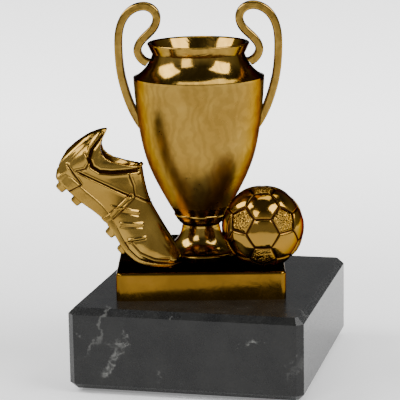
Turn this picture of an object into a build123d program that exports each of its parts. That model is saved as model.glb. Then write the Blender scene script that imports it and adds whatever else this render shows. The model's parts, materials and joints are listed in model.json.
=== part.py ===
"""Figure trophy: a two-handled cup with a football boot and a ball, on a marble block.

Millimetres, +Z up, front towards -Y. The origin is on the standing plane, under the middle of
the block. The figure stands turned a little about the vertical, so its pieces are drawn on the
planes `figure` (looking down) and `elevation` (looking at its front).
"""

import os
from math import cos, radians, sin

from build123d import *

os.makedirs("parts", exist_ok=True)

# ---- Driving dimensions ------------------------------------------------------------------

# Marble block
block_width = 60.0
block_depth = 66.0
block_height = 21.0
block_bevel = 1.6
block_foot_bevel = 1.4

# Felt sheet under the block
felt_thickness = 1.0
felt_inset = 5.0
felt_corner = 3.0
felt_hole_radius = 9.5

# How the figure stands on the block
figure_turn = 12.8
figure_x = -3.3
figure_y = 1.8

# Plinth
plinth_width = 43.0
plinth_depth = 44.0
plinth_height = 7.2
plinth_wall = 1.8
plinth_corner = 1.4
plinth_edge = 0.7
boss_radius = 2.6
centre_boss_radius = 4.6
rib_thickness = 1.4

# Fixing: one threaded rod clamps block, plinth and cup together
rod_radius = 2.0
rod_clearance = 0.3
nut_across_flats = 7.0
nut_height = 3.2
flat_washer_thickness = 1.0
spring_washer_thickness = 1.0
spring_washer_radius = 3.6
spring_washer_slit = 0.9
base_washer_radius = 6.5
counterbore_radius = 8.0
counterbore_depth = 7.0
bowl_washer_radius = 4.5
rod_overhang = 1.0
rod_end_chamfer = 0.4

# Cup, heights above the plinth
foot_radius = 12.0
foot_disc_height = 1.7
foot_disc_edge = 0.4
foot_flare_radius = 10.6
foot_waist_radius = 6.6
foot_waist_height = 3.7
foot_top_radius = 5.0
foot_height = 7.4
collar_height = 3.6
collar_waist_radius = 4.9
collar_waist_height = 0.6
collar_swell_radius = 5.9
collar_swell_height = 1.5
collar_lip_height = 2.9
collar_ridge_radius = 7.0
collar_ridge_height = 3.2
collar_lip_step = 0.25
collar_top_step = 0.15
bowl_underside_radius = 6.9
bowl_floor = 2.4
bowl_floor_radius = 6.1
shoulder_height = 46.6
shoulder_radius = 17.0
shoulder_land = 0.35
shoulder_step = 0.4
shoulder_rise = 0.1
shoulder_bend_radius = 13.4
shoulder_bend_height = 49.9
neck_height = 53.1
neck_radius = 11.9
neck_bead = 0.25
neck_bead_rise = 0.05
rim_height = 55.8
rim_radius = 13.2
rim_edge_radius = 13.12
rim_edge_drop = 0.1
rim_drop = 0.45
rim_inner_drop = 0.3
rim_land = 0.4
rim_width = 1.1
cup_wall = 1.6
neck_wall = 1.3
neck_wall_drop = 0.2
shoulder_wall = 1.1
register_height = 2.0
register_wall = 1.2
register_lip = 0.9
register_slack = 0.3

# Pips under the foot that stop the cup turning on the plinth
pip_radius = 1.0
pip_height = 1.1
pip_spacing = 15.0

# Handles
strap_width = 2.1
strap_depth = 3.2
strap_round = 0.5
peg_radius = 0.7
peg_length = 1.4
upper_peg_root = 11.2
upper_peg_height = 50.9
lower_peg_root = 14.8
lower_peg_height = 35.8

# Boot, drawn along its own sole from heel to toe
boot_x = -35.0
boot_height = 22.7
boot_forward = 14.5
boot_pitch = 47.7
stud_root = 1.8
stud_radius = 1.4
stud_taper = 6
toe_seat_radius = 2.4
toe_seat_height = 1.6
toe_seat_x = -8.8
ankle_level = 7.5
ankle_centre = 4.4
ankle_length = 8.6
ankle_width = 5.6
sole_depth = 5.0

# Ball
ball_radius = 10.6
ball_wall = 1.4
ball_flat = 0.3
ball_x = 15.9
ball_forward = 15.6
ball_boss_radius = 2.4

# Self-tapping screws that hold the boot and the ball
screw_radius = 1.3
screw_head_radius = 2.4
screw_head_height = 1.6
screw_bite = 4.6
screw_recess = 2.2

# ---- Levels and planes worked out from them ----------------------------------------------

block_top = felt_thickness + block_height
plinth_top = block_top + plinth_height
collar_level = plinth_top + foot_height
bowl_level = collar_level + collar_height
floor_level = bowl_level + bowl_floor
counterbore_level = felt_thickness + counterbore_depth

turn = radians(figure_turn)
figure = Plane(origin=(figure_x, figure_y, 0), x_dir=(cos(turn), sin(turn), 0), z_dir=(0, 0, 1))
elevation = Plane(origin=figure.origin, x_dir=figure.x_dir, z_dir=-figure.y_dir)
figure_axis = Axis(figure.origin, figure.z_dir)

boot_tilt = Location((boot_x, plinth_top + boot_height, 0), (0, 0, -boot_pitch))
boot_side = Plane(elevation.offset(boot_forward).location * boot_tilt)
boot_plan = Plane(origin=boot_side.origin, x_dir=boot_side.x_dir, z_dir=boot_side.y_dir)

boot_seat = (toe_seat_x, -boot_forward)
ball_seat = (ball_x, -ball_forward)
rod_hole_radius = rod_radius + rod_clearance


# ---- Marble block and its felt -----------------------------------------------------------

with BuildPart() as marble_base:
    with BuildSketch(Plane.XY.offset(felt_thickness)):
        Rectangle(block_width, block_depth)
    extrude(amount=block_height)
    chamfer(marble_base.edges().filter_by(Axis.Z), block_bevel)
    chamfer(marble_base.faces().sort_by(Axis.Z)[-1].edges(), block_bevel)
    chamfer(marble_base.faces().sort_by(Axis.Z)[0].edges(), block_foot_bevel)
    with BuildSketch(figure.offset(felt_thickness)):
        Circle(counterbore_radius)
    extrude(amount=counterbore_depth, mode=Mode.SUBTRACT)
    with BuildSketch(figure.offset(felt_thickness)):
        Circle(rod_hole_radius)
    extrude(amount=block_height, mode=Mode.SUBTRACT)
marble_base.part.label = "marble_base"
export_step(marble_base.part, "parts/marble_base.step")

with BuildPart() as base_felt:
    with BuildSketch(Plane.XY):
        RectangleRounded(block_width - 2 * felt_inset, block_depth - 2 * felt_inset, felt_corner)
        with Locations((figure_x, figure_y)):
            Circle(felt_hole_radius, mode=Mode.SUBTRACT)
    extrude(amount=felt_thickness)
base_felt.part.label = "base_felt"
export_step(base_felt.part, "parts/base_felt.step")


# ---- Rod, nuts and washers ---------------------------------------------------------------

spring_washer_level = counterbore_level - flat_washer_thickness - spring_washer_thickness
base_nut_level = spring_washer_level - nut_height
bowl_nut_level = floor_level + flat_washer_thickness
rod_bottom = base_nut_level - rod_overhang
rod_top = bowl_nut_level + nut_height + rod_overhang

with BuildPart() as tie_rod:
    with BuildSketch(figure.offset(rod_bottom)):
        Circle(rod_radius)
    extrude(amount=rod_top - rod_bottom)
    chamfer(tie_rod.edges().filter_by(GeomType.CIRCLE), rod_end_chamfer)
tie_rod.part.label = "tie_rod"
export_step(tie_rod.part, "parts/tie_rod.step")

with BuildPart() as base_washer:
    with BuildSketch(figure.offset(counterbore_level - flat_washer_thickness)):
        Circle(base_washer_radius)
        Circle(rod_hole_radius, mode=Mode.SUBTRACT)
    extrude(amount=flat_washer_thickness)
base_washer.part.label = "base_washer"
export_step(base_washer.part, "parts/base_washer.step")

with BuildPart() as base_spring_washer:
    with BuildSketch(figure.offset(spring_washer_level)):
        Circle(spring_washer_radius)
        Circle(rod_hole_radius, mode=Mode.SUBTRACT)
        with Locations((spring_washer_radius / 2, 0)):
            Rectangle(spring_washer_radius, spring_washer_slit, mode=Mode.SUBTRACT)
    extrude(amount=spring_washer_thickness)
base_spring_washer.part.label = "base_spring_washer"
export_step(base_spring_washer.part, "parts/base_spring_washer.step")

with BuildPart() as bowl_washer:
    with BuildSketch(figure.offset(floor_level)):
        Circle(bowl_washer_radius)
        Circle(rod_hole_radius, mode=Mode.SUBTRACT)
    extrude(amount=flat_washer_thickness)
bowl_washer.part.label = "bowl_washer"
export_step(bowl_washer.part, "parts/bowl_washer.step")

for nut_name, nut_level in (("base_nut", base_nut_level), ("bowl_nut", bowl_nut_level)):
    with BuildPart() as nut:
        with BuildSketch(figure.offset(nut_level)):
            RegularPolygon(nut_across_flats / 2, 6, major_radius=False)
            Circle(rod_radius, mode=Mode.SUBTRACT)
        extrude(amount=nut_height)
    nut.part.label = nut_name
    export_step(nut.part, f"parts/{nut_name}.step")


# ---- Plinth ------------------------------------------------------------------------------

plinth_deck = plinth_top - plinth_wall
screw_seats = (boot_seat, ball_seat)

with BuildPart() as plinth:
    with BuildSketch(figure.offset(block_top)):
        RectangleRounded(plinth_width, plinth_depth, plinth_corner)
    extrude(amount=plinth_height)
    fillet(plinth.faces().sort_by(Axis.Z)[-1].edges(), plinth_edge)
    with BuildSketch(figure.offset(block_top)):
        Rectangle(plinth_width - 2 * plinth_wall, plinth_depth - 2 * plinth_wall)
    extrude(amount=plinth_height - plinth_wall, mode=Mode.SUBTRACT)
    with BuildSketch(figure.offset(block_top)):
        Circle(centre_boss_radius)
        Rectangle(plinth_width - plinth_wall, rib_thickness)
        Rectangle(rib_thickness, plinth_depth - plinth_wall)
    extrude(amount=plinth_height - plinth_wall)
    with BuildSketch(figure.offset(block_top + screw_recess)):
        with Locations(*screw_seats):
            Circle(boss_radius)
    extrude(amount=plinth_deck - block_top - screw_recess)
    with BuildSketch(figure.offset(block_top)):
        Circle(rod_hole_radius)
        with Locations(*screw_seats):
            Circle(screw_radius)
    extrude(amount=plinth_height, mode=Mode.SUBTRACT)
    with BuildSketch(figure.offset(plinth_top)):
        with GridLocations(pip_spacing, 0, 2, 1):
            Circle(pip_radius)
    extrude(amount=-pip_height, mode=Mode.SUBTRACT)
plinth.part.label = "plinth"
export_step(plinth.part, "parts/plinth.step")

for screw_name, seat in (("boot_screw", boot_seat), ("ball_screw", ball_seat)):
    with BuildPart() as screw:
        with BuildSketch(figure.offset(block_top + screw_recess)):
            with Locations(seat):
                Circle(screw_head_radius)
        extrude(amount=-screw_head_height)
        with BuildSketch(figure.offset(block_top + screw_recess)):
            with Locations(seat):
                Circle(screw_radius)
        extrude(amount=plinth_height - screw_recess + screw_bite)
    screw.part.label = screw_name
    export_step(screw.part, f"parts/{screw_name}.step")


# ---- Cup: foot, collar, bowl, shoulder with neck and rim ---------------------------------

shoulder_level = plinth_top + shoulder_height
neck_level = plinth_top + neck_height
rim_level = plinth_top + rim_height
foot_disc_level = plinth_top + foot_disc_height
ball_centre_level = plinth_top + ball_radius - ball_flat

# Radius of the bowl's outside at a few heights above its underside, a slightly swelling curve
bowl_curve = ((bowl_underside_radius, 0), (10.4, 6.3), (13.9, 14.3), (15.75, 22.8), (16.6, 30.0))

with BuildPart() as cup_foot:
    with BuildSketch(elevation):
        with BuildLine():
            Polyline(
                (rod_hole_radius, collar_level),
                (rod_hole_radius, plinth_top),
                (foot_radius, plinth_top),
                (foot_radius, foot_disc_level),
                (foot_flare_radius, foot_disc_level),
            )
            ThreePointArc(
                (foot_flare_radius, foot_disc_level),
                (foot_waist_radius, plinth_top + foot_waist_height),
                (foot_top_radius, collar_level),
            )
            Line((foot_top_radius, collar_level), (rod_hole_radius, collar_level))
        make_face()
    revolve(axis=figure_axis)
    with BuildSketch(figure.offset(plinth_top)):
        with GridLocations(pip_spacing, 0, 2, 1):
            Circle(pip_radius)
    extrude(amount=-pip_height)
    disc_edges = cup_foot.edges().filter_by(GeomType.CIRCLE).group_by(SortBy.RADIUS)[-1]
    fillet(disc_edges.sort_by(Axis.Z)[-1], foot_disc_edge)
cup_foot.part.label = "cup_foot"
export_step(cup_foot.part, "parts/cup_foot.step")

collar_lip = (collar_ridge_radius - collar_lip_step, collar_level + collar_lip_height)
collar_top = (collar_ridge_radius - collar_top_step, bowl_level)
collar_waist = (collar_waist_radius, collar_level + collar_waist_height)

with BuildPart() as stem_collar:
    with BuildSketch(elevation):
        with BuildLine():
            Polyline(
                collar_top,
                (rod_hole_radius, bowl_level),
                (rod_hole_radius, collar_level),
                (collar_waist_radius, collar_level),
                collar_waist,
            )
            ThreePointArc(
                collar_waist,
                (collar_swell_radius, collar_level + collar_swell_height),
                collar_lip,
            )
            ThreePointArc(
                collar_lip,
                (collar_ridge_radius, collar_level + collar_ridge_height),
                collar_top,
            )
        make_face()
    revolve(axis=figure_axis)
stem_collar.part.label = "stem_collar"
export_step(stem_collar.part, "parts/stem_collar.step")

# Two short pegs on each handle enter blind holes in the neck and the bowl
upper_peg_level = plinth_top + upper_peg_height
lower_peg_level = plinth_top + lower_peg_height
peg_plane = Plane(origin=figure.origin, x_dir=figure.y_dir, z_dir=figure.x_dir)

bowl_outside = [(radius, bowl_level + height) for radius, height in bowl_curve]
bowl_outside.append((shoulder_radius, shoulder_level))
bowl_inside = [(radius - cup_wall, height) for radius, height in bowl_outside[1:-1]]
register_radius = shoulder_radius - register_wall
register_level = shoulder_level - register_height
register_ledge = (shoulder_radius - cup_wall - register_slack, register_level)

with BuildPart() as cup_bowl:
    with BuildSketch(elevation):
        with BuildLine():
            Spline(*bowl_outside)
            Polyline(
                (shoulder_radius, shoulder_level),
                (register_radius, shoulder_level),
                (register_radius, register_level),
                register_ledge,
            )
            Spline(register_ledge, *reversed(bowl_inside), (bowl_floor_radius, floor_level))
            Polyline(
                (bowl_floor_radius, floor_level),
                (rod_hole_radius, floor_level),
                (rod_hole_radius, bowl_level),
                (bowl_outside[0][0], bowl_level),
            )
        make_face()
    revolve(axis=figure_axis)
    for hand in (-1, 1):
        with BuildSketch(peg_plane.offset(hand * lower_peg_root)):
            with Locations((0, lower_peg_level)):
                Circle(peg_radius)
        extrude(amount=hand * peg_length, mode=Mode.SUBTRACT)

land_level = shoulder_level + shoulder_land
shoulder_start = (shoulder_radius - shoulder_step, land_level + shoulder_rise)
rim_outside = (rim_radius, rim_level - rim_drop)
rim_top = (rim_radius - rim_land, rim_level)
neck_inside = (neck_radius - neck_wall, neck_level - neck_wall_drop)
lip_radius = register_radius - register_lip

with BuildPart() as cup_shoulder:
    with BuildSketch(elevation):
        with BuildLine():
            Polyline((shoulder_radius, shoulder_level), (shoulder_radius, land_level), shoulder_start)
            ThreePointArc(
                shoulder_start,
                (shoulder_bend_radius, plinth_top + shoulder_bend_height),
                (neck_radius, neck_level),
            )
            Polyline(
                (neck_radius, neck_level),
                (neck_radius + neck_bead, neck_level + neck_bead_rise),
                rim_outside,
            )
            ThreePointArc(rim_outside, (rim_edge_radius, rim_level - rim_edge_drop), rim_top)
            Polyline(rim_top, (rim_radius - rim_width, rim_level - rim_inner_drop), neck_inside)
            ThreePointArc(
                neck_inside,
                (shoulder_bend_radius - shoulder_wall, plinth_top + shoulder_bend_height - shoulder_wall),
                (lip_radius, shoulder_level - register_lip),
            )
            Polyline(
                (lip_radius, shoulder_level - register_lip),
                (lip_radius, register_level),
                (register_radius, register_level),
                (register_radius, shoulder_level),
                (shoulder_radius, shoulder_level),
            )
        make_face()
    revolve(axis=figure_axis)
    for hand in (-1, 1):
        with BuildSketch(peg_plane.offset(hand * upper_peg_root)):
            with Locations((0, upper_peg_level)):
                Circle(peg_radius)
        extrude(amount=hand * peg_length, mode=Mode.SUBTRACT)


# ---- Handles -----------------------------------------------------------------------------

# Radius and height above the bowl's underside of a core that lies inside the cup's wall
core_curve = ((6.5, 0), (13.0, 14.3), (14.9, 22.8), (15.9, 30.0))
core_neck_radius = 11.2

# The cup's outside as one solid, which trims the handles to the surfaces that they rest on
with BuildPart() as cup_envelope:
    add(cup_bowl.part)
    add(cup_shoulder.part)
    with BuildSketch(elevation):
        with BuildLine():
            Polyline(
                (0, bowl_level),
                *[(radius, bowl_level + height) for radius, height in core_curve],
                (shoulder_radius - register_wall / 2, shoulder_level),
                (core_neck_radius, neck_level),
                (core_neck_radius, rim_level),
                (0, rim_level),
                close=True,
            )
        make_face()
    revolve(axis=figure_axis)

# Points on the strap's centre line, from the neck round the curl and down to the bowl, each
# with its distance from the axis and its height above the plinth
strap_route = (
    (12.2, 50.5),
    (15.0, 52.0),
    (15.7, 54.0),
    (14.0, 57.0),
    (11.2, 60.0),
    (10.7, 62.8),
    (12.4, 64.8),
    (15.4, 65.0),
    (18.4, 63.1),
    (20.2, 59.4),
    (20.6, 54.5),
    (20.1, 48.0),
    (18.3, 41.0),
    (16.4, 36.6),
    (14.6, 33.8),
)

for handle_name, hand in (("handle_left", -1), ("handle_right", 1)):
    route = [(hand * out, plinth_top + height) for out, height in strap_route]
    with BuildPart() as handle:
        with BuildLine(elevation) as strap_line:
            Spline(*route)
        strap_start = Plane(
            origin=strap_line.line @ 0,
            x_dir=elevation.z_dir,
            z_dir=strap_line.line % 0,
        )
        with BuildSketch(strap_start):
            RectangleRounded(strap_depth, strap_width, strap_round)
        sweep()
        add(cup_envelope.part, mode=Mode.SUBTRACT)
        for root, level in ((upper_peg_root, upper_peg_level), (lower_peg_root, lower_peg_level)):
            with BuildSketch(peg_plane.offset(hand * root)):
                with Locations((0, level)):
                    Circle(peg_radius)
            extrude(amount=hand * peg_length)
    handle.part.label = handle_name
    export_step(handle.part, f"parts/{handle_name}.step")

cup_bowl.part.label = "cup_bowl"
export_step(cup_bowl.part, "parts/cup_bowl.step")
cup_shoulder.part.label = "cup_shoulder"
export_step(cup_shoulder.part, "parts/cup_shoulder.step")


# ---- Boot --------------------------------------------------------------------------------

# Half outline of the sole seen from below, along the boot from heel to toe
footprint = ((-3.2, 0), (-0.8, 4.1), (5.0, 4.8), (13.0, 4.8), (24.0, 6.3), (32.0, 5.0), (36.3, 0))

# Studs, in pairs: distance along the boot, distance from its middle, level of the tips
studs = ((0.8, 3.0, -1.5), (5.9, 3.1, -1.1), (17.7, 4.0, -0.3), (22.8, 4.4, -1.1))

# Cross-sections of the upper: distance along the boot, lower edge, upper edge, half width.
# Each swells a little above its lower edge and narrows to a ridge.
swell_width, swell_share = 1.04, 0.35
ridge_width, ridge_share = 0.72, 0.82
upper_sections = (
    (-4.0, 5.2, 9.4, 1.4),
    (-3.2, 2.9, 13.0, 3.2),
    (-1.6, 2.2, 17.9, 4.1),
    (3.0, 2.6, 18.6, 4.5),
    (10.6, 2.9, 17.6, 4.8),
    (18.0, 2.2, 13.5, 5.5),
    (25.0, 0.8, 11.4, 5.9),
    (31.0, 2.6, 10.1, 4.7),
    (34.4, 5.4, 9.2, 3.0),
    (35.9, 7.3, 8.5, 1.1),
)

with BuildPart() as boot_sole:
    with BuildSketch(boot_side):
        with BuildLine():
            Polyline((-3.0, 1.6), (-1.8, 0), (2.6, 0))
            ThreePointArc((2.6, 0), (14.5, 1.4), (25.0, 0))
            ThreePointArc((25.0, 0), (31.5, 2.3), (36.2, 7.2))
            Line((36.2, 7.2), (35.7, 7.9))
            ThreePointArc((35.7, 7.9), (31.0, 3.2), (25.0, 1.3))
            Polyline((25.0, 1.3), (15.9, 3.5), (14.1, 3.9), (3.8, 3.6), (-3.0, 3.0), (-3.0, 1.6))
        make_face()
    extrude(amount=block_width / 4, both=True)
    with BuildSketch(boot_plan.offset(-sole_depth)):
        with BuildLine():
            footprint_line = Spline(*footprint)
            mirror(footprint_line, about=Plane.XZ)
        make_face()
    extrude(amount=block_width / 2, mode=Mode.INTERSECT)
    for along, across, tip in studs:
        with BuildSketch(boot_plan.offset(stud_root)):
            with GridLocations(0, 2 * across, 1, 2):
                with Locations((along, 0)):
                    Circle(stud_radius)
        extrude(amount=tip - stud_root, taper=stud_taper)
    with BuildSketch(figure.offset(plinth_top)):
        with Locations(boot_seat):
            Circle(toe_seat_radius)
    extrude(amount=toe_seat_height)

with BuildPart() as boot_upper:
    for along, low, high, half_width in upper_sections:
        rise = high - low
        station = Plane(
            origin=boot_side.from_local_coords((along, 0, 0)),
            x_dir=-boot_side.z_dir,
            z_dir=boot_side.x_dir,
        )
        with BuildSketch(station):
            with BuildLine():
                Line((-half_width, low), (half_width, low))
                half_section = [
                    (half_width, low),
                    (swell_width * half_width, low + swell_share * rise),
                    (ridge_width * half_width, low + ridge_share * rise),
                ]
                other_half = [(-across, level) for across, level in reversed(half_section)]
                Spline(*half_section, (0, high), *other_half)
            make_face()
    loft()
    with BuildSketch(boot_side):
        with BuildLine():
            Spline((-1.7, 17.7), (1.7, 13.1), (6.0, 13.9), (11.0, 18.0))
            Polyline((11.0, 18.0), (12.0, 25.0), (-6.0, 25.0), (-6.0, 17.7), (-1.7, 17.7))
        make_face()
    extrude(amount=block_width / 4, both=True, mode=Mode.SUBTRACT)
    with BuildSketch(boot_plan.offset(ankle_level)):
        with Locations((ankle_centre, 0)):
            SlotOverall(ankle_length, ankle_width)
    extrude(amount=block_width / 4, mode=Mode.SUBTRACT)
    add(boot_sole.part, mode=Mode.SUBTRACT)

for piece, piece_name in ((boot_sole, "boot_sole"), (boot_upper, "boot_upper")):
    with piece:
        with BuildSketch(figure.offset(plinth_top)):
            with Locations(boot_seat):
                Circle(screw_radius)
        extrude(amount=screw_bite, mode=Mode.SUBTRACT)
    piece.part.label = piece_name
    export_step(piece.part, f"parts/{piece_name}.step")


# ---- Ball --------------------------------------------------------------------------------

ball_front = elevation.offset(ball_forward)
ball_axis = Axis(figure.from_local_coords((ball_x, -ball_forward, 0)), (0, 0, 1))
ball_inside = ball_radius - ball_wall
ball_seat_radius = (ball_radius**2 - (ball_radius - ball_flat) ** 2) ** 0.5
ball_slope = cos(radians(45))

with BuildPart() as ball_lower:
    with BuildSketch(ball_front):
        with BuildLine():
            Line((ball_x, plinth_top), (ball_x + ball_seat_radius, plinth_top))
            ThreePointArc(
                (ball_x + ball_seat_radius, plinth_top),
                (ball_x + ball_slope * ball_radius, ball_centre_level - ball_slope * ball_radius),
                (ball_x + ball_radius, ball_centre_level),
            )
            Line((ball_x + ball_radius, ball_centre_level), (ball_x + ball_inside, ball_centre_level))
            ThreePointArc(
                (ball_x + ball_inside, ball_centre_level),
                (ball_x + ball_slope * ball_inside, ball_centre_level - ball_slope * ball_inside),
                (ball_x, ball_centre_level - ball_inside),
            )
            Line((ball_x, ball_centre_level - ball_inside), (ball_x, plinth_top))
        make_face()
    revolve(axis=ball_axis)
    with BuildSketch(figure.offset(plinth_top)):
        with Locations(ball_seat):
            Circle(ball_boss_radius)
    extrude(amount=screw_bite + ball_wall)
    with BuildSketch(figure.offset(plinth_top)):
        with Locations(ball_seat):
            Circle(screw_radius)
    extrude(amount=screw_bite, mode=Mode.SUBTRACT)
ball_lower.part.label = "ball_lower"
export_step(ball_lower.part, "parts/ball_lower.step")

with BuildPart() as ball_upper:
    with BuildSketch(ball_front):
        with BuildLine():
            Line((ball_x, ball_centre_level + ball_radius), (ball_x, ball_centre_level + ball_inside))
            ThreePointArc(
                (ball_x, ball_centre_level + ball_inside),
                (ball_x + ball_slope * ball_inside, ball_centre_level + ball_slope * ball_inside),
                (ball_x + ball_inside, ball_centre_level),
            )
            Line((ball_x + ball_inside, ball_centre_level), (ball_x + ball_radius, ball_centre_level))
            ThreePointArc(
                (ball_x + ball_radius, ball_centre_level),
                (ball_x + ball_slope * ball_radius, ball_centre_level + ball_slope * ball_radius),
                (ball_x, ball_centre_level + ball_radius),
            )
        make_face()
    revolve(axis=ball_axis)
ball_upper.part.label = "ball_upper"
export_step(ball_upper.part, "parts/ball_upper.step")
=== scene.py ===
"""Figure trophy: a gold cup with a football boot and a ball, on a black marble block.

The cup, handles, plinth, marble, felt and fixings are the frame's own nodes with better
materials. The boot and the ball are modelled here. The ball fills the boxes of its nodes, and
the boot is placed from the cup's axis and the plinth's top.
"""
import json
import math
from itertools import combinations

import bmesh
import bpy
import numpy as np
from mathutils import Matrix, Vector


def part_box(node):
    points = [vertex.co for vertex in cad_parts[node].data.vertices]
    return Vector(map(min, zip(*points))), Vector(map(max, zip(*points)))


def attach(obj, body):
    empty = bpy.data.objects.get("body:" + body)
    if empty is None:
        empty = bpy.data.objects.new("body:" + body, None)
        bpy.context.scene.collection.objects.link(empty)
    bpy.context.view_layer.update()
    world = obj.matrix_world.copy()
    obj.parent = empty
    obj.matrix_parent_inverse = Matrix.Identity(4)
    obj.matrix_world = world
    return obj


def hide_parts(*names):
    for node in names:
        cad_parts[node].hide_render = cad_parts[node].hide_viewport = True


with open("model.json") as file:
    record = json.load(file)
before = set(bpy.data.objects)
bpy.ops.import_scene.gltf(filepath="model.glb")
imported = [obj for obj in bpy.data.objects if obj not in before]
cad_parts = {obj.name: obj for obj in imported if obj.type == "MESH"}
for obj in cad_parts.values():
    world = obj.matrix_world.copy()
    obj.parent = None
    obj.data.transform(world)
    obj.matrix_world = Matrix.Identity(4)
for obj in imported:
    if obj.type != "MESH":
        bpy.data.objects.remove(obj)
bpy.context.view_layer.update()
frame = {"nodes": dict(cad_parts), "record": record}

MM = 0.001


# ---- Where things stand, read from the frame ---------------------------------------------

def middle(*nodes):
    """Centre of the box round these CAD nodes."""
    low = np.min([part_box(node)[0] for node in nodes], axis=0)
    high = np.max([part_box(node)[1] for node in nodes], axis=0)
    return (low + high) / 2


block_low, block_high = (np.array(corner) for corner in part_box("marble_base"))
plinth_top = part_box("plinth")[1][2]
cup_axis = middle("tie_rod")
across = middle("handle_right") - middle("handle_left")
figure_x = Vector((across[0], across[1], 0)).normalized()
figure_y = Vector((-figure_x.y, figure_x.x, 0))
upward = Vector((0, 0, 1))


# ---- Small mesh helpers ------------------------------------------------------------------

def smooth_curve(knots, values):
    """A smooth curve through the knots, by Hermite spans with averaged slopes."""
    x, y = (np.array(column, float) for column in zip(*knots))
    slope = np.gradient(y, x)
    values = np.clip(values, x[0], x[-1])
    span = np.clip(np.searchsorted(x, values) - 1, 0, len(x) - 2)
    width = x[span + 1] - x[span]
    t = (values - x[span]) / width
    start = (1 + 2 * t) * (1 - t) ** 2 * y[span] + t * (1 - t) ** 2 * width * slope[span]
    end = t**2 * (3 - 2 * t) * y[span + 1] + t**2 * (t - 1) * width * slope[span + 1]
    return start + end


def loft(rings):
    """A closed mesh through rings of the same number of points, capped at both ends."""
    mesh = bmesh.new()
    rows = [[mesh.verts.new(point) for point in ring] for ring in rings]
    for row, following in zip(rows, rows[1:]):
        for k in range(len(row)):
            after = (k + 1) % len(row)
            mesh.faces.new((row[k], row[after], following[after], following[k]))
    for row in (rows[0], rows[-1]):
        centre = mesh.verts.new(sum((v.co for v in row), Vector()) / len(row))
        for k in range(len(row)):
            mesh.faces.new((row[k], row[(k + 1) % len(row)], centre))
    bmesh.ops.recalc_face_normals(mesh, faces=mesh.faces)
    return mesh


def make_object(name, mesh):
    """Turns a bmesh into an object of the scene."""
    data = bpy.data.meshes.new(name)
    mesh.to_mesh(data)
    mesh.free()
    piece = bpy.data.objects.new(name, data)
    bpy.context.scene.collection.objects.link(piece)
    return piece


def apply_modifiers(piece):
    """Replaces the object's mesh by its evaluated one."""
    bpy.context.view_layer.update()
    evaluated = piece.evaluated_get(bpy.context.evaluated_depsgraph_get())
    data = bpy.data.meshes.new_from_object(evaluated)
    piece.modifiers.clear()
    piece.data = data


def carve(piece, cutter):
    """Cuts the cutter's volume out of the piece and deletes the cutter."""
    cut = piece.modifiers.new("cut", "BOOLEAN")
    cut.object = cutter
    cut.operation = "DIFFERENCE"
    cut.solver = "EXACT"
    apply_modifiers(piece)
    bpy.data.objects.remove(cutter)


def melt(piece, voxel, rounds):
    """One even skin over all the piece's volumes, softened by a few rounds of smoothing."""
    skin = piece.modifiers.new("skin", "REMESH")
    skin.mode = "VOXEL"
    skin.voxel_size = voxel
    soft = piece.modifiers.new("soft", "SMOOTH")
    soft.factor = 0.5
    soft.iterations = rounds
    apply_modifiers(piece)


def coordinates(data):
    """Vertex positions and normals as arrays."""
    points = np.empty(len(data.vertices) * 3)
    normals = np.empty(len(data.vertices) * 3)
    data.vertices.foreach_get("co", points)
    data.vertices.foreach_get("normal", normals)
    return points.reshape(-1, 3), normals.reshape(-1, 3)


def set_points(data, points):
    """Writes the positions back and shades the mesh smooth."""
    data.vertices.foreach_set("co", points.ravel())
    data.polygons.foreach_set("use_smooth", np.ones(len(data.polygons), bool))
    data.update()


def store(data, name, values):
    """Keeps one number per vertex for the materials to read."""
    layer = data.attributes.new(name, "FLOAT", "POINT")
    layer.data.foreach_set("value", np.asarray(values, np.float32))


def line_distance(points, line):
    """Distance of flat points from a polyline."""
    best = np.full(len(points), 1e9)
    for start, end in zip(line, line[1:]):
        start, end = np.array(start, float), np.array(end, float)
        run = end - start
        along = np.clip((points - start) @ run / (run @ run), 0, 1)
        best = np.minimum(best, np.linalg.norm(points - start - along[:, None] * run, axis=1))
    return best


def ramp(low, high, values):
    """Smooth step from 0 at low to 1 at high."""
    t = np.clip((values - low) / (high - low), 0, 1)
    return t * t * (3 - 2 * t)


# ---- Camera, fitted to the picture's view ------------------------------------------------

view_turn = math.radians(13.48)
view_rise = math.radians(11.951)
view_roll = math.radians(-0.881)
view_distance = 480 * MM
aim_aside = -2.968 * MM
aim_height = 42.849 * MM
sensor_width = 36
lens_length = 165.525
near_limit = 10 * MM

back = Vector((
    math.sin(view_turn) * math.cos(view_rise),
    -math.cos(view_turn) * math.cos(view_rise),
    math.sin(view_rise),
))
sideways = Vector((math.cos(view_turn), math.sin(view_turn), 0))
above = back.cross(sideways)
aim = Vector((0, 0, block_low[2] + aim_height)) + aim_aside * sideways
camera_right = sideways * math.cos(view_roll) + above * math.sin(view_roll)
camera_up = above * math.cos(view_roll) - sideways * math.sin(view_roll)

camera_data = bpy.data.cameras.new("camera")
camera_data.sensor_width = sensor_width
camera_data.lens = lens_length
camera_data.clip_start = near_limit
camera = bpy.data.objects.new("camera", camera_data)
camera_axes = Matrix((camera_right, camera_up, back)).transposed()
camera.matrix_world = Matrix.Translation(aim + view_distance * back) @ camera_axes.to_4x4()
bpy.context.scene.collection.objects.link(camera)
bpy.context.scene.camera = camera


# ---- Materials ---------------------------------------------------------------------------

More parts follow.
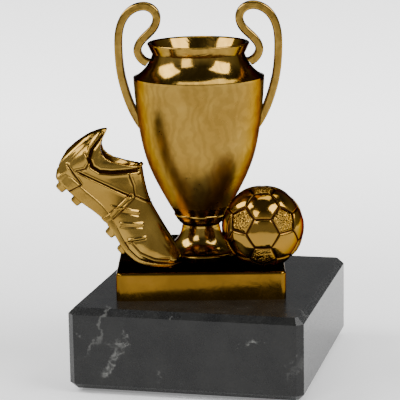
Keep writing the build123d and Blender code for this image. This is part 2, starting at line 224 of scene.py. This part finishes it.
class Nodes:
    """A short way to write a material's node tree."""

    def __init__(self, name):
        self.material = bpy.data.materials.new(name)
        self.material.use_nodes = True
        self.tree = self.material.node_tree
        self.shader = self.tree.nodes["Principled BSDF"]

    def add(self, kind, **settings):
        """Adds a node. Names with a leading _ are node settings, the others are inputs."""
        node = self.tree.nodes.new("ShaderNode" + kind)
        for key, value in settings.items():
            if key.startswith("_"):
                setattr(node, key[1:], value)
            else:
                self.give(node.inputs[key.replace("_", " ")], value)
        return node

    def give(self, socket, value):
        """Links an output to the socket, or sets the socket's own value."""
        if isinstance(value, bpy.types.NodeSocket):
            self.tree.links.new(value, socket)
        else:
            socket.default_value = value

    def math(self, operation, first, second=0.0):
        """A math node's output."""
        node = self.tree.nodes.new("ShaderNodeMath")
        node.operation = operation
        self.give(node.inputs[0], first)
        self.give(node.inputs[1], second)
        return node.outputs[0]

    def mix(self, factor, first, second):
        """A colour mix node's output."""
        node = self.tree.nodes.new("ShaderNodeMix")
        node.data_type = "RGBA"
        values = {"Factor_Float": factor, "A_Color": first, "B_Color": second}
        for socket in node.inputs:
            if socket.identifier in values:
                self.give(socket, values[socket.identifier])
        return next(socket for socket in node.outputs if socket.identifier == "Result_Color")

    def noise(self, place, scale, detail=3.0, roughness=0.5, distortion=0.0):
        """A noise texture's factor."""
        node = self.add("TexNoise", Scale=scale, Detail=detail, Roughness=roughness,
                        Distortion=distortion)
        self.give(node.inputs["Vector"], place)
        return node.outputs["Fac"]

    def band(self, value, low, high, bottom=0.0, top=1.0):
        """Maps value from low..high to bottom..top, smoothly."""
        node = self.tree.nodes.new("ShaderNodeMapRange")
        node.interpolation_type = "SMOOTHSTEP"
        self.give(node.inputs["Value"], value)
        for key, number in zip(("From Min", "From Max", "To Min", "To Max"), (low, high, bottom, top)):
            node.inputs[key].default_value = number
        return node.outputs["Result"]

    def bump(self, height, distance, strength=1.0, under=None):
        """A bump node's normal."""
        node = self.add("Bump", Height=height, Distance=distance, Strength=strength)
        if under is not None:
            self.give(node.inputs["Normal"], under)
        return node.outputs["Normal"]

    def set(self, **inputs):
        """Sets or links inputs of the Principled shader."""
        for key, value in inputs.items():
            self.give(self.shader.inputs[key.replace("_", " ")], value)


def gold(name, bright, deep, roughness, ripple, satin=None, recessed=False, pebble=False):
    """Antique-gold plating. satin is a range of heights that is less polished, recessed darkens
    the recesses of a detailed piece, and pebble roughens the ball's pentagons."""
    n = Nodes(name)
    place = n.add("TexCoord").outputs["Object"]
    cloud = n.noise(place, 95.0, 4.0, 0.6, 0.4)
    fine = n.noise(place, 900.0, 3.0, 0.6)
    colour = n.mix(n.band(cloud, 0.35, 0.7), (*deep, 1), (*bright, 1))
    smear = n.math("MULTIPLY", n.band(fine, 0.3, 0.8), 0.05)
    rough = n.math("ADD", n.math("MULTIPLY", n.band(cloud, 0.4, 0.75), 0.05), smear)
    rough = n.math("ADD", rough, roughness)
    if satin:
        height = n.add("SeparateXYZ", Vector=place).outputs["Z"]
        inside = n.math("MULTIPLY", n.band(height, satin[0], satin[0] + 1.5 * MM),
                        n.band(height, satin[1] - 0.3 * MM, satin[1], 1.0, 0.0))
        rough = n.math("ADD", rough, n.math("MULTIPLY", inside, 0.17))
        swirl = n.add("TexWave", _wave_profile="SIN", Scale=120.0, Distortion=14.0, Detail=3.0,
                      Detail_Scale=1.2)
        n.give(swirl.inputs["Vector"], place)
        shade = n.math("MULTIPLY", n.band(swirl.outputs["Fac"], 0.2, 0.9), 0.35)
        colour = n.mix(shade, colour, (*[0.72 * c for c in deep], 1))
    if recessed:
        recess = n.add("Attribute", _attribute_name="recess").outputs["Fac"]
        colour = n.mix(n.band(recess, 0.05, 0.8), colour, (*TARNISH, 1))
        rough = n.math("ADD", rough, n.math("MULTIPLY", recess, 0.25))
    waves = n.noise(place, 260.0, 2.0, 0.5, 1.2)
    normal = n.bump(waves, ripple * MM, 0.6)
    normal = n.bump(fine, 0.006 * MM, 0.5, normal)
    if pebble:
        mask = n.add("Attribute", _attribute_name="pebble").outputs["Fac"]
        grain = n.add("TexVoronoi", _feature="SMOOTH_F1", Scale=1900.0, Smoothness=0.35)
        n.give(grain.inputs["Vector"], place)
        height = n.math("MULTIPLY", n.math("SUBTRACT", 1.0, grain.outputs["Distance"]), mask)
        normal = n.bump(height, 0.35 * MM, 1.0, normal)
        rough = n.math("ADD", rough, n.math("MULTIPLY", mask, 0.05))
    n.set(Metallic=1.0, Base_Color=colour, Roughness=rough, Normal=normal)
    n.set(Specular_Tint=(*GRAZING_TINT, 1))
    return n.material


def segment_distance(n, place, start, end):
    """Nodes for the distance of a place from the straight line between two points."""
    run = Vector(end) - Vector(start)
    offset = n.add("VectorMath", _operation="SUBTRACT")
    n.give(offset.inputs[0], place)
    offset.inputs[1].default_value = start
    along = n.add("VectorMath", _operation="DOT_PRODUCT")
    n.give(along.inputs[0], offset.outputs[0])
    along.inputs[1].default_value = run / run.length_squared
    share = n.math("MINIMUM", n.math("MAXIMUM", along.outputs["Value"], 0.0), 1.0)
    nearest = n.add("VectorMath", _operation="SCALE")
    nearest.inputs[0].default_value = run
    n.give(nearest.inputs["Scale"], share)
    gap = n.add("VectorMath", _operation="DISTANCE")
    n.give(gap.inputs[0], offset.outputs[0])
    n.give(gap.inputs[1], nearest.outputs[0])
    return gap.outputs["Value"]


def marble():
    """Black marble: a cloudy ground, a few broken veins on the front and faint ones all over."""
    n = Nodes("black_marble")
    place = n.add("TexCoord").outputs["Object"]
    warp = n.add("TexNoise", Scale=120.0, Detail=5.0, Roughness=0.65)
    n.give(warp.inputs["Vector"], place)
    centred = n.add("VectorMath", _operation="SUBTRACT")
    n.give(centred.inputs[0], warp.outputs["Color"])
    centred.inputs[1].default_value = (0.5, 0.5, 0.5)
    pushed = n.add("VectorMath", _operation="SCALE")
    n.give(pushed.inputs[0], centred.outputs[0])
    pushed.inputs["Scale"].default_value = 0.011
    moved = n.add("VectorMath", _operation="ADD")
    n.give(moved.inputs[0], place)
    n.give(moved.inputs[1], pushed.outputs[0])
    warped = moved.outputs[0]

    front = block_low[1]
    left, top = block_low[0], block_high[2]
    # Veins of the front face: start and end, from the left edge and down from the top in
    # millimetres, then width and strength
    veins = (
        ((15.5, 5.0), (9.8, 18.5), 0.9, 0.60),
        ((12.6, 8.0), (10.2, 15.5), 1.5, 0.45),
        ((3.0, 7.2), (11.0, 8.6), 0.8, 0.25),
        ((44.0, 7.8), (52.0, 4.4), 0.6, 0.55),
        ((26.0, 2.0), (29.0, 0.2), 0.6, 0.35),
        ((24.0, 18.0), (24.5, 15.0), 0.6, 0.25),
        ((57.5, 9.0), (56.0, 12.0), 0.5, 0.22),
    )
    total = 0.0
    for start, end, width, strength in veins:
        ends = [(left + x * MM, front, top - z * MM) for x, z in (start, end)]
        near = n.band(segment_distance(n, warped, *ends), 0.0, width * MM, strength, 0.0)
        total = n.math("MAXIMUM", total, near)
    streaks = n.noise(place, 420.0, 6.0, 0.7, 1.5)
    total = n.math("MULTIPLY", total, n.band(streaks, 0.42, 0.62, 0.12, 1.0))

    web = n.add("TexVoronoi", _feature="DISTANCE_TO_EDGE", Scale=42.0)
    n.give(web.inputs["Vector"], warped)
    thin = n.band(web.outputs["Distance"], 0.0, 0.02, 1.0, 0.0)
    patch = n.band(n.noise(place, 50.0, 2.0), 0.56, 0.68)
    faint = n.math("MULTIPLY", n.math("MULTIPLY", thin, patch), 0.22)
    vein = n.math("MAXIMUM", total, faint)

    cloud = n.band(n.noise(place, 160.0, 5.0, 0.6), 0.3, 0.7)
    ground = n.mix(cloud, (0.006, 0.006, 0.006, 1), (0.013, 0.013, 0.012, 1))
    colour = n.mix(vein, ground, (0.30, 0.30, 0.28, 1))
    speck = n.noise(place, 1500.0, 2.0)
    rough = n.math("ADD", n.math("MULTIPLY", n.band(speck, 0.4, 0.8), 0.06), 0.25)
    rough = n.math("ADD", rough, n.math("MULTIPLY", vein, 0.12))
    n.set(Base_Color=colour, Roughness=rough, Normal=n.bump(speck, 0.01 * MM, 0.4))
    n.set(IOR=1.5, Specular_IOR_Level=0.31)
    return n.material


def felt():
    """Black felt: a fibrous, matt pile."""
    n = Nodes("black_felt")
    place = n.add("TexCoord").outputs["Object"]
    fibre = n.noise(place, 2600.0, 4.0, 0.7, 2.0)
    colour = n.mix(fibre, (0.010, 0.011, 0.010, 1), (0.050, 0.052, 0.048, 1))
    n.set(Base_Color=colour, Roughness=0.95, Normal=n.bump(fibre, 0.2 * MM, 0.7))
    n.set(Sheen_Weight=0.4)
    return n.material


def zinc():
    """Bright zinc plate with turning marks and a slight bloom."""
    n = Nodes("zinc_plate")
    place = n.add("TexCoord").outputs["Object"]
    bloom = n.noise(place, 300.0, 3.0)
    marks = n.add("TexWave", _wave_type="RINGS", _rings_direction="Z", Scale=900.0, Distortion=1.5)
    n.give(marks.inputs["Vector"], place)
    colour = n.mix(bloom, (0.55, 0.56, 0.58, 1), (0.72, 0.72, 0.70, 1))
    rough = n.band(bloom, 0.3, 0.7, 0.22, 0.40)
    n.set(Metallic=1.0, Base_Color=colour, Roughness=rough)
    n.set(Normal=n.bump(marks.outputs["Fac"], 0.01 * MM, 0.4))
    return n.material


def floor_material():
    """Pale, matt studio paper, which glows more towards the back."""
    n = Nodes("studio_paper")
    place = n.add("TexCoord").outputs["Object"]
    tooth = n.noise(place, 700.0, 3.0)
    colour = n.mix(tooth, (0.86, 0.86, 0.86, 1), (0.90, 0.90, 0.90, 1))
    depth = n.add("SeparateXYZ", Vector=place).outputs["Y"]
    n.set(Base_Color=colour, Roughness=0.85, Normal=n.bump(tooth, 0.03 * MM, 0.3))
    n.set(Emission_Color=colour, Emission_Strength=n.band(depth, -0.1, 0.4, 0.15, 2.4))
    return n.material


# Golds, from the brightest to the brownest, the dark in their recesses and their edge colour
BRIGHT = (0.36, 0.222, 0.048)
AMBER = (0.32, 0.165, 0.020)
DEEP = (0.26, 0.150, 0.028)
BROWN = (0.20, 0.102, 0.012)
UMBER = (0.14, 0.0714, 0.0084)
TARNISH = (0.030, 0.009, 0.003)
GRAZING_TINT = (0.10, 0.07, 0.03)

belly = (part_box("cup_bowl")[0][2] + 1.0 * MM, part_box("cup_bowl")[1][2])
finishes = {
    "gold_cup": gold("gold_cup", BRIGHT, DEEP, 0.10, 0.06, satin=belly),
    "gold_plinth": gold("gold_plinth", BROWN, UMBER, 0.13, 0.05),
    "gold_boot": gold("gold_boot", BRIGHT, DEEP, 0.13, 0.04, recessed=True),
    "gold_sole": gold("gold_sole", BRIGHT, DEEP, 0.24, 0.06, recessed=True),
    "gold_ball": gold("gold_ball", AMBER, DEEP, 0.09, 0.04, recessed=True, pebble=True),
    "marble": marble(),
    "felt": felt(),
    "zinc_steel": zinc(),
}
for part in frame["record"]["subparts"]:
    node = frame["nodes"][part["node"]]
    finish = finishes[part["material_slot"]]
    if node.material_slots:
        for slot in node.material_slots:
            slot.material = finish
    else:
        node.data.materials.append(finish)


# ---- Ball: twelve pebbled pentagons and twenty smooth hexagons ---------------------------

# A panel's score at a point is its direction along the point over its plane's distance from the
# middle, for edges of 1. The two best scores are equal on a seam and part by about SEAM_GROWTH
# times the distance from it over the radius.
PENTAGON_PLANE = 2.32744
HEXAGON_PLANE = 2.26728
SEAM_GROWTH = 0.3


def panel_directions(toward, lower):
    """The pentagons' and hexagons' centres. toward is a hexagon, lower one of its pentagons."""
    golden = (1 + 5**0.5) / 2
    corners = [Vector(c).normalized() for a in (-1, 1) for b in (-golden, golden)
               for c in ((0, a, b), (a, b, 0), (b, 0, a))]
    faces = []
    for one, two, three in combinations(corners, 3):
        if min(one @ two, two @ three, one @ three) > 0.4:
            faces.append((one + two + three).normalized())
    first = faces[0]
    second = max(corners, key=lambda corner: corner @ first)

    def basis(main, side):
        third = main.cross(side).normalized()
        return Matrix((main, third.cross(main), third)).transposed()

    turn = basis(toward, lower) @ basis(first, second).transposed()
    return np.array([turn @ c for c in corners]), np.array([turn @ f for f in faces])


def build_ball():
    """The ball's skin, with sunk seams and slightly domed panels."""
    low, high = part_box("ball_upper")
    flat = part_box("ball_lower")[0][2]
    radius = (high[0] - low[0]) / 2
    centre = Vector(middle("ball_upper", "ball_lower"))
    centre.z = high[2] - radius
    to_camera = (camera.matrix_world.translation - centre).normalized()
    right = upward.cross(to_camera).normalized()
    top = to_camera.cross(right)
    toward = (to_camera * 0.98 - top * 0.19).normalized()
    pentagons, hexagons = panel_directions(toward, -top)

    mesh = bmesh.new()
    bmesh.ops.create_icosphere(mesh, subdivisions=8, radius=1.0)
    piece = make_object("ball_skin", mesh)
    points, _ = coordinates(piece.data)
    points /= np.linalg.norm(points, axis=1)[:, None]
    scores = np.hstack((points @ pentagons.T / PENTAGON_PLANE, points @ hexagons.T / HEXAGON_PLANE))
    order = np.sort(scores, axis=1)
    seam = (order[:, -1] - order[:, -2]) / SEAM_GROWTH * radius / MM
    on_pentagon = scores.argmax(axis=1) < len(pentagons)
    groove = np.exp(-(seam / 0.30) ** 2)
    dome = 1 - ramp(0.0, 2.4, seam)
    sunk = 0.24 * groove + 0.14 * dome + 0.05 * on_pentagon * ramp(0.1, 0.4, seam)
    points = points * (radius - sunk * MM)[:, None] + np.array(centre)
    points[:, 2] = np.maximum(points[:, 2], flat)
    set_points(piece.data, points)
    store(piece.data, "recess", 0.9 * groove)
    store(piece.data, "pebble", on_pentagon * ramp(0.35, 0.7, seam))
    piece.data.materials.append(finishes["gold_ball"])
    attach(piece, "root")
    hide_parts("ball_upper", "ball_lower")


# ---- Boot, in millimetres: u along the sole from heel to toe, v up from the sole, w sideways ----

# The heel's place: left of the cup's axis, in front of it and above the plinth
BOOT_START = (-35.0, -14.5, 22.7)
BOOT_PITCH = math.radians(47.7)
HEEL_END, TOE_END = -4.9, 36.0
SOLE_HEEL, SOLE_TOE = -3.1, 36.2

# The upper: its lower and upper edge, half width and squareness against the place along it
lower_edge = ((-4.9, 6.4), (-4.1, 3.6), (-2.7, 1.9), (0, 1.3), (10, 1.6), (16, 1.6), (24, 0.7),
              (28, 1.1), (31.8, 3.0), (34.5, 5.6), (36.0, 7.5))
upper_edge = ((-4.9, 9.4), (-4.5, 12.2), (-3.5, 15.4), (-1.8, 18.0), (1, 18.8), (10.6, 17.9),
              (14, 15.7), (18, 13.5), (25, 11.5), (30.5, 10.3), (33.5, 9.5), (35.2, 8.7), (36.0, 7.9))
half_width = ((-4.9, 0.9), (-4.4, 2.5), (-2.8, 3.8), (2, 4.5), (8, 4.6), (13, 4.9), (18, 5.5),
              (24, 6.1), (29, 5.6), (33, 3.9), (35.2, 2.1), (36.0, 0.6))
fullness = ((-4.9, 2.6), (0, 4.5), (9, 4.5), (14, 3.0), (20, 2.3), (36, 2.1))
collar_edge = ((-1.7, 17.6), (-0.8, 15.0), (0.3, 13.5), (1.7, 12.8), (3.2, 12.8), (4.8, 13.3),
               (8.0, 15.3), (10.5, 17.4))
# Levels of the ankle's hollow, each with its back end, front end and half width
ankle = ((6.0, -0.4, 6.8, 2.3), (9.0, -1.4, 8.0, 3.0), (13.0, -2.0, 8.9, 3.3), (20.0, -0.6, 11.2, 3.3))

# The sole plate: its lower and upper face and half width
sole_lower = ((-3.1, 1.3), (-2.2, 0.2), (0, 0), (5, 0.1), (14, 1.4), (16, 1.35), (25, 0), (28, 0.45),
              (31.8, 2.5), (34.5, 4.9), (36.2, 7.2))
sole_upper = ((-3.1, 3.1), (3.8, 3.7), (14.1, 4.0), (16.0, 3.5), (25, 1.35), (28, 1.7), (31.5, 3.7),
              (34.3, 5.9), (36.2, 8.0))
sole_half = ((-3.1, 1.2), (-2.2, 3.4), (0, 4.5), (6, 4.9), (13, 5.0), (18, 5.7), (24, 6.3), (29, 5.8),
             (33, 4.1), (35.4, 2.1), (36.2, 0.7))
# Pairs of studs: place along the sole, distance from its middle and level of the tips
studs = ((0.8, 3.0, -1.5), (5.9, 3.1, -1.1), (17.7, 4.0, -0.3), (22.8, 4.4, -1.1))
# A stud's half size: at its root, with the level, and near its tip, with the height above it
stud_root = (2.2, 1.5)
stud_end = ((0.35, 1.25), (0.08, 1.15), (0, 0.9))

# The seat under the toe, which stands on the plinth: its middle as (u, v), radius and height
toe_seat = (34.4, 4.1)
toe_seat_radius = 2.4
toe_seat_height = 1.4

# Lines on the boot's side: grooves and raised seams
collar_seam = ((-1.7, 16.0), (-1.0, 11.9), (0.3, 9.7), (2.3, 8.8), (4.5, 9.4), (6.8, 11.4),
               (9.4, 14.4), (10.9, 16.2))
quarter_line = ((0.9, 5.3), (14.5, 10.7))
heel_clip = ((-2.3, 4.6), (3.8, 3.7), (2.6, -0.4))
arch_band = ((13.9, 1.0), (14.7, 4.0), (14.6, 10.7))
strap_cross = ((12.9, 5.6), (16.6, 8.2))
eyestay = ((10.1, 14.2), (13.0, 13.0), (15.1, 11.5), (19.2, 12.9))
creases = (((15.2, 6.9), (18.6, 9.3)), ((17.6, 4.3), (21.5, 8.0)), ((22.0, 2.8), (24.4, 6.2)))
toe_line = ((22.6, 3.0), (26.4, 2.7), (30.3, 4.1), (33.0, 6.2))
heel_loop = ((-1.3, 9.9), (0.9, 9.3), (1.5, 7.2), (0.3, 5.2))

# Grooves: line, width, depth and height of the lips beside it
grooves = (
    (collar_seam, 0.34, 0.48, 0.10),
    (quarter_line, 0.22, 0.30, 0.08),
    (heel_clip, 0.18, 0.24, 0.09),
    (eyestay, 0.17, 0.20, 0.08),
    (heel_loop, 0.18, 0.20, 0.07),
    (toe_line, 0.20, 0.16, 0.05),
)


def bell(distance, width):
    """A rounded profile, 1 at no distance."""
    return np.exp(-(distance / width) ** 2)


def upper_ring(u, count=44):
    """One cross-section of the upper at a distance along the boot."""
    low, high, wide, power = (float(smooth_curve(knots, np.array([u]))[0])
                              for knots in (lower_edge, upper_edge, half_width, fullness))
    rise = np.sin(np.linspace(0, math.pi / 2, count))
    shape = (0.92 + 0.12 * np.sin(math.pi * np.minimum(rise / 0.75, 1))) * (1 - rise**power) ** 0.5
    side = [(u, wide * s, low + (high - low) * h) for s, h in zip(shape, rise)]
    other = [(p[0], -p[1], p[2]) for p in reversed(side[:-1])]
    return side + other


def sole_ring(u, count=40):
    """One cross-section of the sole plate, a block with rounded edges."""
    low, high, wide = (float(smooth_curve(knots, np.array([u]))[0])
                       for knots in (sole_lower, sole_upper, sole_half))
    angles = np.linspace(0, 2 * math.pi, count, endpoint=False)
    flat = np.sign(np.cos(angles)) * np.abs(np.cos(angles)) ** 0.28
    tall = np.sign(np.sin(angles)) * np.abs(np.sin(angles)) ** 0.28
    return [(u, wide * a, (low + high) / 2 + (high - low) / 2 * b) for a, b in zip(flat, tall)]


def stud(u, w, tip):
    """A tapered, rounded-square stud."""
    rings = []
    angles = np.linspace(0, 2 * math.pi, 24, endpoint=False) + 0.2
    for level, size in (stud_root, *[(tip + height, size) for height, size in stud_end]):
        reach = size / (np.abs(np.cos(angles)) ** 4 + np.abs(np.sin(angles)) ** 4) ** 0.25
        rings.append([(u + r * math.cos(a), w + r * math.sin(a), level) for a, r in zip(angles, reach)])
    return loft(rings)


def join(meshes):
    """Puts several closed meshes into one."""
    total = bmesh.new()
    for mesh in meshes:
        data = bpy.data.meshes.new("scrap")
        mesh.to_mesh(data)
        mesh.free()
        total.from_mesh(data)
        bpy.data.meshes.remove(data)
    return total


def collar_roll(flat):
    """The padded roll over the collar seam, from 0 to 1, fading out at the heel's tip."""
    seam_u, seam_v = zip(*collar_seam)
    behind = flat[:, 0] - np.interp(-flat[:, 1], [-v for v in seam_v[:3]], seam_u[:3])
    higher = flat[:, 1] - np.interp(flat[:, 0], seam_u[2:], seam_v[2:])
    over = np.where(flat[:, 0] < seam_u[2], behind, higher)
    reach = line_distance(flat, collar_seam) * (over > 0) * (flat[:, 0] < seam_u[-1])
    tip = 1 - ramp(14.0, 16.6, flat[:, 1] - 0.4 * flat[:, 0])
    return ramp(0.2, 1.1, reach) * (1 - 0.8 * ramp(1.6, 3.2, reach)) * tip


def upper_relief(points, normals):
    """How far each point of the upper moves out, and how deep in a recess it lies."""
    flat = points[:, (0, 2)]
    outside = normals[:, 1] * np.sign(points[:, 1]) > -0.2
    outside &= (line_distance(flat, collar_edge) > 0.12) | (flat[:, 0] > 11)
    move = np.zeros(len(points))
    recess = np.zeros(len(points))
    for line, width, depth, lip in grooves:
        gap = line_distance(flat, line)
        dip = bell(gap, width)
        move += lip * bell(gap - 2.1 * width, width) - depth * dip
        recess = np.maximum(recess, dip * min(1.0, depth / 0.25))
    for line in creases:
        below = [(u + 0.55, v - 0.5) for u, v in line]
        under = line_distance(flat, below)
        move += 0.22 * bell(line_distance(flat, line), 0.30) - 0.14 * bell(under, 0.32)
        recess = np.maximum(recess, 0.45 * bell(under, 0.25))
    band = line_distance(flat, arch_band)
    move += 0.14 * (1 - ramp(0.55, 0.85, band)) + 0.18 * bell(band - 0.55, 0.17)
    recess = np.maximum(recess, 0.8 * bell(band - 0.95, 0.15))
    move += 0.22 * bell(line_distance(flat, strap_cross), 0.22)
    move += 0.42 * collar_roll(flat)
    return np.where(outside, move, 0.0), np.where(outside, recess, 0.0)


def sole_relief(points, normals):
    """The heel clip and arch strap go on over the sole's side, under a dark line at its top."""
    flat = points[:, (0, 2)]
    side = np.abs(normals[:, 1]) > 0.3
    clip = line_distance(flat, heel_clip)
    strap = 1 - ramp(0.45, 0.75, line_distance(flat, arch_band))
    move = np.where(side, 0.16 * strap - 0.2 * bell(clip, 0.17), 0)
    recess = np.where(side, bell(clip, 0.2), 0)
    below_top = smooth_curve(sole_upper, flat[:, 0]) - flat[:, 1]
    return move, np.maximum(recess, 0.9 * bell(below_top, 0.22))


def ankle_cutter():
    """The hollow for the ankle."""
    angles = np.linspace(0, 2 * math.pi, 48, endpoint=False)
    rings = []
    for v, back_end, front_end, wide in ankle:
        reach = (front_end - back_end) / 2
        rings.append([((back_end + front_end) / 2 + reach * math.cos(a), wide * math.sin(a), v)
                      for a in angles])
    return make_object("ankle_cut", loft(rings))


def collar_cutter():
    """Everything above the collar's edge."""
    outline = [*collar_edge, (12.0, 26.0), (-7.0, 26.0), (-7.0, 17.7)]
    walls = [[(u, w, v) for u, v in outline] for w in (-9.0, 9.0)]
    return make_object("collar_cut", loft(walls))


def build_upper(voxel):
    """The upper, melted from a loft and cut open for the ankle."""
    stations = np.concatenate((
        np.linspace(HEEL_END, -1.0, 16),
        np.linspace(-0.5, 31, 60),
        np.linspace(31.4, TOE_END, 14),
    ))
    upper = make_object("boot_upper_skin", loft([upper_ring(u) for u in stations]))
    carve(upper, ankle_cutter())
    carve(upper, collar_cutter())
    melt(upper, voxel, 5)
    return upper


def build_sole(voxel):
    """The sole plate, its studs and its seat, upright in the figure, melted into one."""
    parts = [loft([sole_ring(u) for u in np.linspace(SOLE_HEEL, SOLE_TOE, 90)])]
    parts += [stud(u, hand * w, tip) for u, w, tip in studs for hand in (-1, 1)]
    upright = Vector((-math.sin(BOOT_PITCH), 0, math.cos(BOOT_PITCH)))
    level = Vector((math.cos(BOOT_PITCH), 0, math.sin(BOOT_PITCH)))
    aside = Vector((0, 1, 0))
    seat = Vector((toe_seat[0], 0, toe_seat[1]))
    angles = np.linspace(0, 2 * math.pi, 40, endpoint=False)
    parts.append(loft([
        [seat + height * upright + toe_seat_radius * (math.cos(a) * level + math.sin(a) * aside)
         for a in angles]
        for height in (0.0, toe_seat_height)
    ]))
    sole = make_object("boot_sole_skin", join(parts))
    melt(sole, voxel, 3)
    return sole


def finish_boot_piece(piece, relief, slot):
    """Gives the piece its relief, its place in the figure and its material."""
    along = figure_x * math.cos(BOOT_PITCH) - upward * math.sin(BOOT_PITCH)
    rise = figure_x * math.sin(BOOT_PITCH) + upward * math.cos(BOOT_PITCH)
    place = Vector(cup_axis) + (BOOT_START[0] * figure_x + BOOT_START[1] * figure_y) * MM
    place.z = plinth_top + BOOT_START[2] * MM
    points, normals = coordinates(piece.data)
    move, recess = relief(points, normals)
    points = points + normals * move[:, None]
    set_points(piece.data, points @ np.array([along, figure_y, rise]) * MM + np.array(place))
    store(piece.data, "recess", recess)
    piece.data.materials.clear()
    piece.data.materials.append(finishes[slot])
    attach(piece, "root")


def build_boot():
    """Upper and sole, each a piece of its own."""
    voxel = 0.12
    upper, sole = build_upper(voxel), build_sole(voxel)
    finish_boot_piece(upper, upper_relief, "gold_boot")
    finish_boot_piece(sole, sole_relief, "gold_sole")
    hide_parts("boot_upper")
    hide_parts("boot_sole")


build_ball()
build_boot()


# ---- Floor, light and surroundings -------------------------------------------------------

def build_floor():
    """A pale sheet that the trophy stands on."""
    mesh = bmesh.new()
    bmesh.ops.create_grid(mesh, x_segments=2, y_segments=2, size=3.0)
    floor = make_object("studio_floor", mesh)
    floor.location.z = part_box("base_felt")[0][2]
    floor.data.materials.append(floor_material())


# Height of the point that the lights face
LIGHT_TARGET = 50 * MM


def soft_box(name, azimuth, elevation, distance, width, height, power):
    """A rectangular light that faces the trophy. Azimuth 0 is its front, positive to the right."""
    turn, rise = math.radians(azimuth), math.radians(elevation)
    light = bpy.data.lights.new(name, "AREA")
    light.shape = "RECTANGLE"
    light.size, light.size_y = width, height
    light.energy = power
    lamp = bpy.data.objects.new(name, light)
    target = Vector((cup_axis[0], cup_axis[1], LIGHT_TARGET))
    away = Vector((math.sin(turn) * math.cos(rise), -math.cos(turn) * math.cos(rise), math.sin(rise)))
    lamp.location = target + distance * away
    lamp.rotation_euler = away.to_track_quat("Z", "Y").to_euler()
    bpy.context.scene.collection.objects.link(lamp)


def graded(tree, value, low, high, bottom, top):
    """A smooth change from bottom to top while the value goes from low to high."""
    node = tree.nodes.new("ShaderNodeMapRange")
    node.interpolation_type = "SMOOTHSTEP"
    tree.links.new(value, node.inputs["Value"])
    for key, number in zip(("From Min", "From Max", "To Min", "To Max"), (low, high, bottom, top)):
        node.inputs[key].default_value = number
    return node.outputs["Result"]


def surroundings():
    """White to the camera, and to the rest a dim studio, darker behind and overhead."""
    world = bpy.data.worlds.new("studio")
    bpy.context.scene.world = world
    world.use_nodes = True
    tree = world.node_tree
    tree.nodes.clear()
    output = tree.nodes.new("ShaderNodeOutputWorld")
    seen = tree.nodes.new("ShaderNodeBackground")
    seen.inputs["Color"].default_value = (1, 1, 1, 1)
    room = tree.nodes.new("ShaderNodeBackground")
    room.inputs["Color"].default_value = (0.96, 0.98, 1.0, 1)
    direction = tree.nodes.new("ShaderNodeTexCoord")
    parts = tree.nodes.new("ShaderNodeSeparateXYZ")
    tree.links.new(direction.outputs["Generated"], parts.inputs[0])
    product = tree.nodes.new("ShaderNodeMath")
    product.operation = "MULTIPLY"
    tree.links.new(graded(tree, parts.outputs["Y"], -0.2, 0.7, 0.50, 0.24), product.inputs[0])
    tree.links.new(graded(tree, parts.outputs["Z"], 0.35, 0.75, 1.0, 0.15), product.inputs[1])
    tree.links.new(product.outputs[0], room.inputs["Strength"])
    rays = tree.nodes.new("ShaderNodeLightPath")
    mix = tree.nodes.new("ShaderNodeMixShader")
    tree.links.new(rays.outputs["Is Camera Ray"], mix.inputs[0])
    tree.links.new(room.outputs[0], mix.inputs[1])
    tree.links.new(seen.outputs[0], mix.inputs[2])
    tree.links.new(mix.outputs[0], output.inputs[0])


build_floor()
# Direction in degrees, distance, width and height in metres, and power in watts
soft_box("box_left", -78, 46, 0.9, 0.56, 0.45, 7.5)
soft_box("box_right", 78, 46, 0.9, 0.56, 0.45, 7.5)
soft_box("box_front", -18, 37, 1.0, 0.40, 0.40, 3.0)
soft_box("overhead", 0, 112, 1.1, 0.7, 0.5, 4.5)
surroundings()
